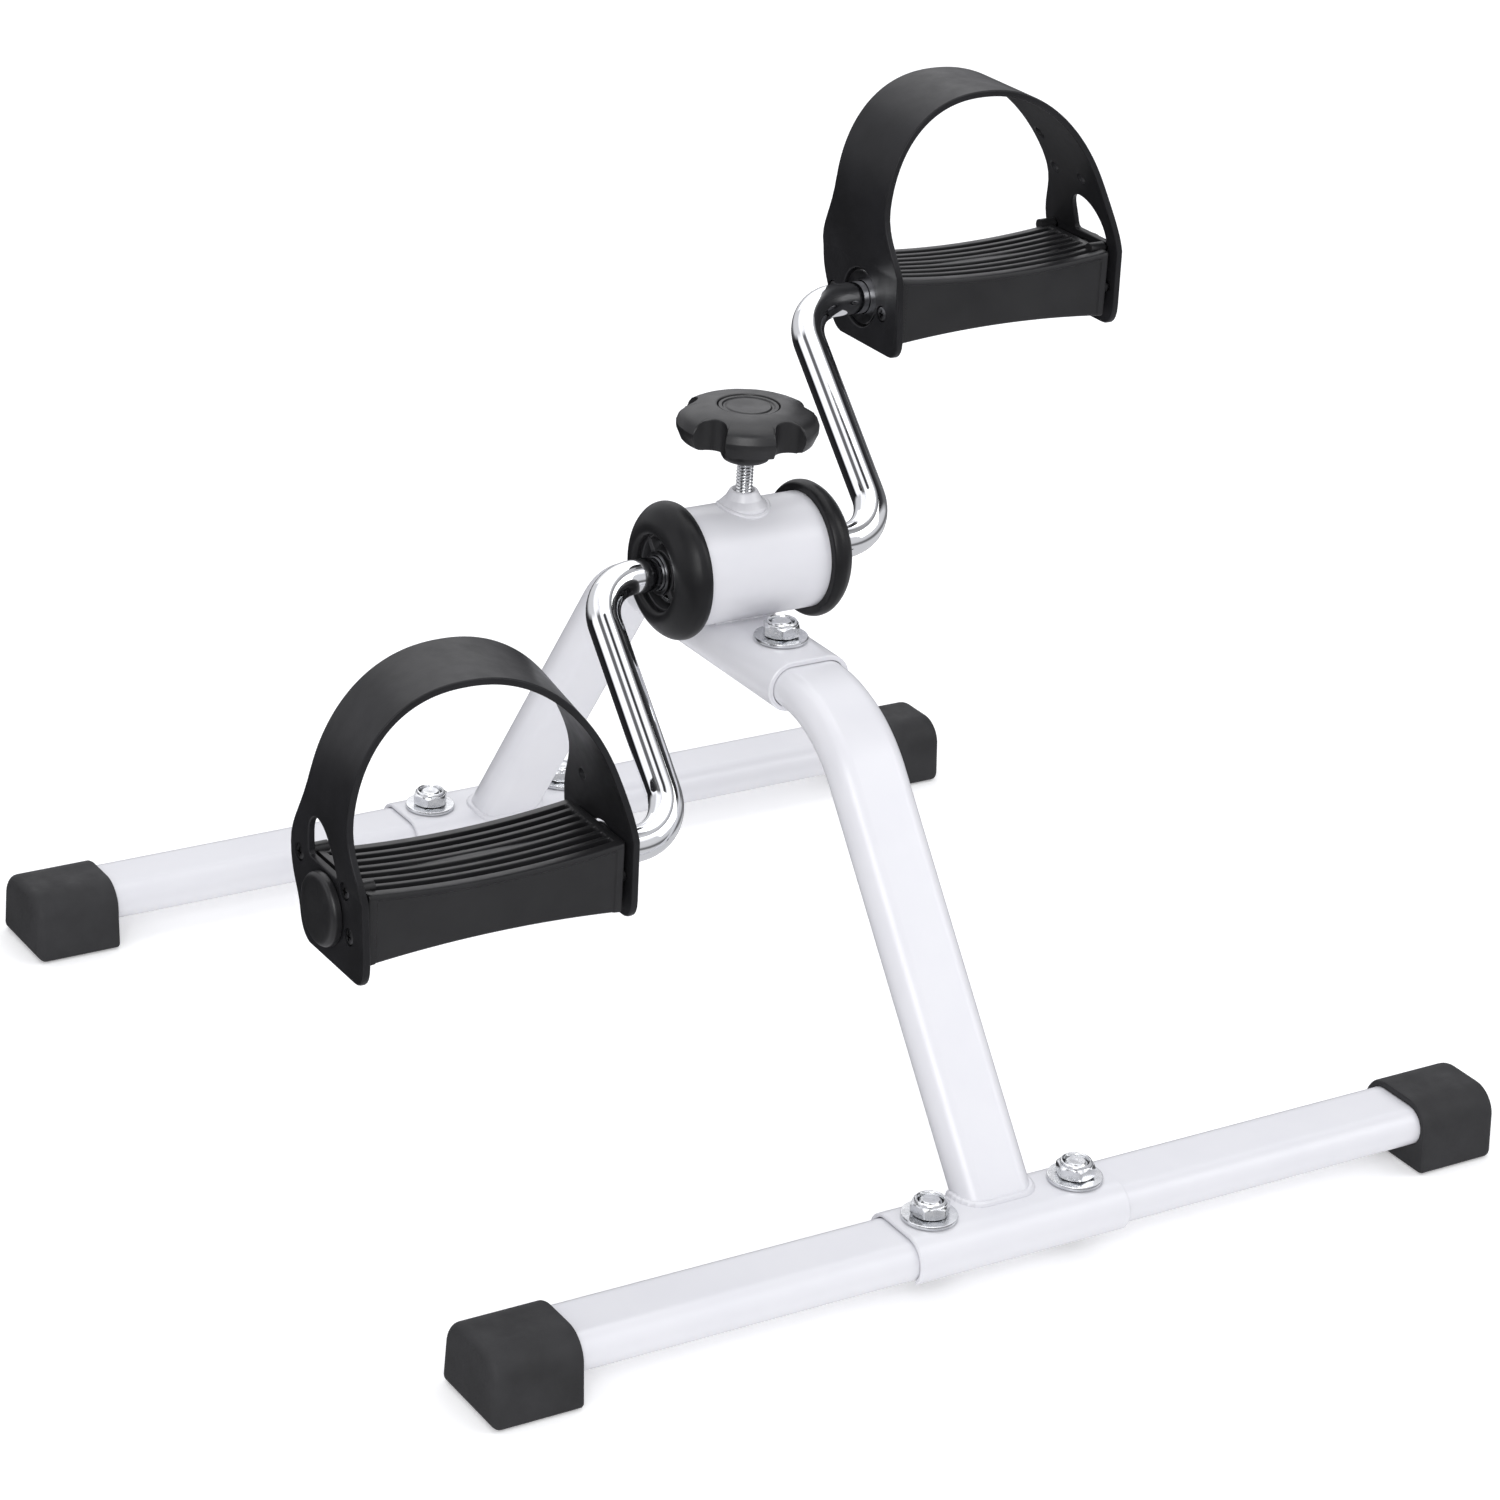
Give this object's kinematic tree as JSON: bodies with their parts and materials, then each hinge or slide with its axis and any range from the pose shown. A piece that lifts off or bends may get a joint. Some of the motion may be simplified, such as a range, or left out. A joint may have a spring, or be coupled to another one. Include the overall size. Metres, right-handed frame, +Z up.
{
  "type": "pedal exerciser",
  "caption": "Floor-standing pedal exerciser: bent tube legs on two cross bars, a cranked rod with strapped pedals and a screw-down resistance knob.",
  "frame": {"origin": "on the floor, midway between the two foot bars and under the middle of the crank", "axes": "+X along the crank axis to the right, +Y to the rear foot bar, +Z up"},
  "size_m": [0.4226, 0.407, 0.3401],
  "materials": {
    "white_paint": "glossy white powder coat",
    "black_plastic": "satin moulded black",
    "rubber": "matt black rubber",
    "chrome": "polished chrome plate",
    "zinc": "bright zinc plate",
    "black_steel": "black oxide screws",
    "nylon": "moulded black nylon"
  },
  "bodies": {
    "frame": {"housing": "white_paint", "front_leg": "white_paint", "rear_leg": "white_paint", "front_foot_bar": "white_paint", "foot_cap_front_left": "rubber", "foot_bolt_front_left": "zinc", "foot_washer_front_left": "zinc", "foot_nut_front_left": "zinc", "foot_cap_front_right": "rubber", "foot_bolt_front_right": "zinc", "foot_washer_front_right": "zinc", "foot_nut_front_right": "zinc", "socket_bolt_front": "zinc", "socket_washer_front": "zinc", "socket_nut_front": "zinc", "rear_foot_bar": "white_paint", "foot_cap_rear_left": "rubber", "foot_bolt_rear_left": "zinc", "foot_washer_rear_left": "zinc", "foot_nut_rear_left": "zinc", "foot_cap_rear_right": "rubber", "foot_bolt_rear_right": "zinc", "foot_washer_rear_right": "zinc", "foot_nut_rear_right": "zinc", "socket_bolt_rear": "zinc", "socket_washer_rear": "zinc", "socket_nut_rear": "zinc", "end_cap_left": "rubber", "bearing_left": "nylon", "end_cap_right": "rubber", "bearing_right": "nylon"},
    "crank": {"crank_rod": "chrome", "shaft_clip_left": "black_steel", "axle_washer_left": "black_steel", "push_nut_left": "zinc", "shaft_clip_right": "black_steel", "axle_washer_right": "black_steel", "push_nut_right": "zinc"},
    "left_pedal": {"pedal_body_left": "black_plastic", "strap_left": "black_plastic", "dust_cap_left": "black_plastic", "strap_screw_outer_1_left": "black_steel", "strap_screw_outer_2_left": "black_steel", "strap_screw_outer_3_left": "black_steel", "strap_screw_inner_1_left": "black_steel", "strap_screw_inner_2_left": "black_steel"},
    "right_pedal": {"pedal_body_right": "black_plastic", "strap_right": "black_plastic", "dust_cap_right": "black_plastic", "strap_screw_outer_1_right": "black_steel", "strap_screw_outer_2_right": "black_steel", "strap_screw_outer_3_right": "black_steel", "strap_screw_inner_1_right": "black_steel", "strap_screw_inner_2_right": "black_steel"},
    "brake": {"brake_shoe": "nylon"},
    "knob": {"adjuster_stud": "zinc", "knob": "black_plastic", "knob_cover": "black_plastic"}
  },
  "joints": [
    {"name": "crank_spin", "type": "hinge", "parent": "frame", "child": "crank", "pos_m": [0, 0.0087, 0.1936], "axis": [1, 0, 0], "continuous": true},
    {"name": "left_pedal_spin", "type": "hinge", "parent": "crank", "child": "left_pedal", "pos_m": [-0.15235, -0.07118, 0.12969], "axis": [1, 0, 0], "continuous": true},
    {"name": "right_pedal_spin", "type": "hinge", "parent": "crank", "child": "right_pedal", "pos_m": [0.15235, 0.08858, 0.25751], "axis": [1, 0, 0], "continuous": true},
    {"name": "brake_travel", "type": "slide", "parent": "frame", "child": "brake", "axis": [0, 0, 1], "range_m": [-0.0026, 0.0026]},
    {"name": "knob_turn", "type": "hinge", "parent": "brake", "child": "knob", "pos_m": [0, 0.0087, 0.25], "axis": [0, 0, 1], "range_deg": [-720, 720]}
  ],
  "couplings": [
    {"joint": "brake_travel", "follows": "knob_turn", "m_per_rad": 0.00020213}
  ]
}
